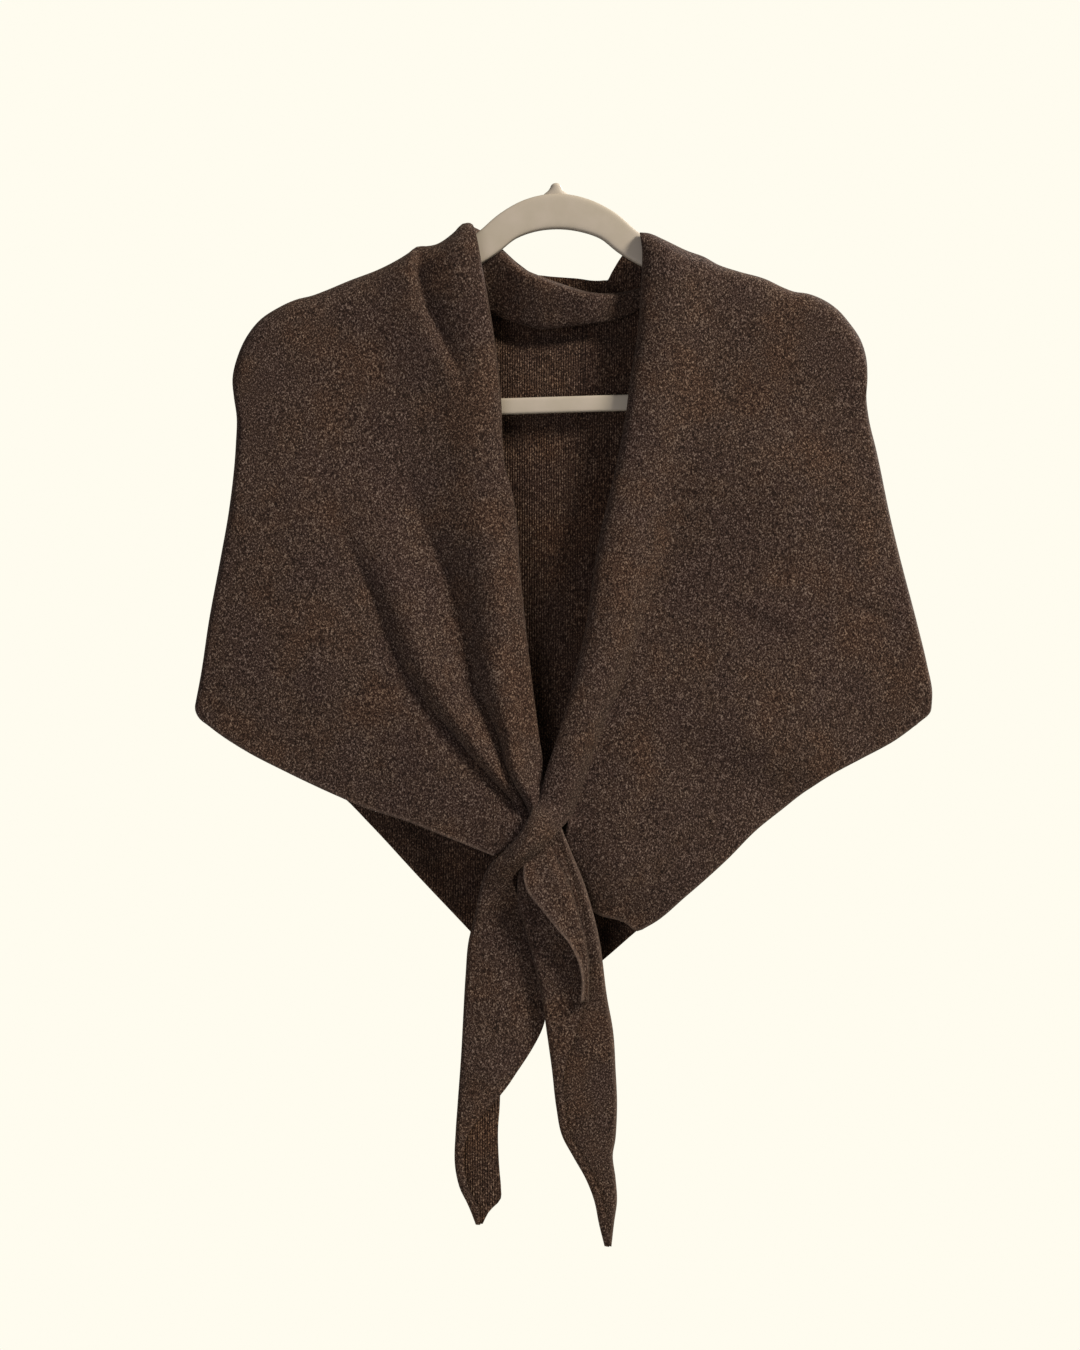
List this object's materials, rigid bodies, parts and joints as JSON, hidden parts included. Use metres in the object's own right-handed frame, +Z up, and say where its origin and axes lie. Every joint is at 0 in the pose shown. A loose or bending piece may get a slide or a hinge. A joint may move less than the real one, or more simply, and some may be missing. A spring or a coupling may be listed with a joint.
{
  "type": "wool shawl on hanger",
  "caption": "Triangular heather wool shawl hung on a flat hanger, collar turned in at the neck, long ends crossed in one knot in front.",
  "frame": {"origin": "top of the hanger's hook boss, where the hanger is held", "axes": "+Z up, -Y towards the knotted front, +X to the right as seen from the front"},
  "size_m": [0.5258, 0.0713, 0.7541],
  "materials": {
    "back_wool": "dark brown heather wool, felted",
    "left_front_wool": "dark brown heather wool, felted",
    "right_front_wool": "dark brown heather wool, felted",
    "neck_roll_wool": "dark brown heather wool, felted",
    "band_wool": "dark brown heather wool, felted",
    "left_tail_wool": "dark brown heather wool, felted",
    "right_tail_wool": "dark brown heather wool, felted",
    "lobe_wool": "dark brown heather wool, felted",
    "hanger_plastic": "satin taupe moulded plastic"
  },
  "bodies": {
    "root": {"back_panel": "back_wool", "left_front": "left_front_wool", "right_front": "right_front_wool", "neck_roll": "neck_roll_wool", "knot_band": "band_wool", "left_tail": "left_tail_wool", "right_tail": "right_tail_wool", "tail_lobe": "lobe_wool", "hanger": "hanger_plastic"}
  },
  "joints": []
}
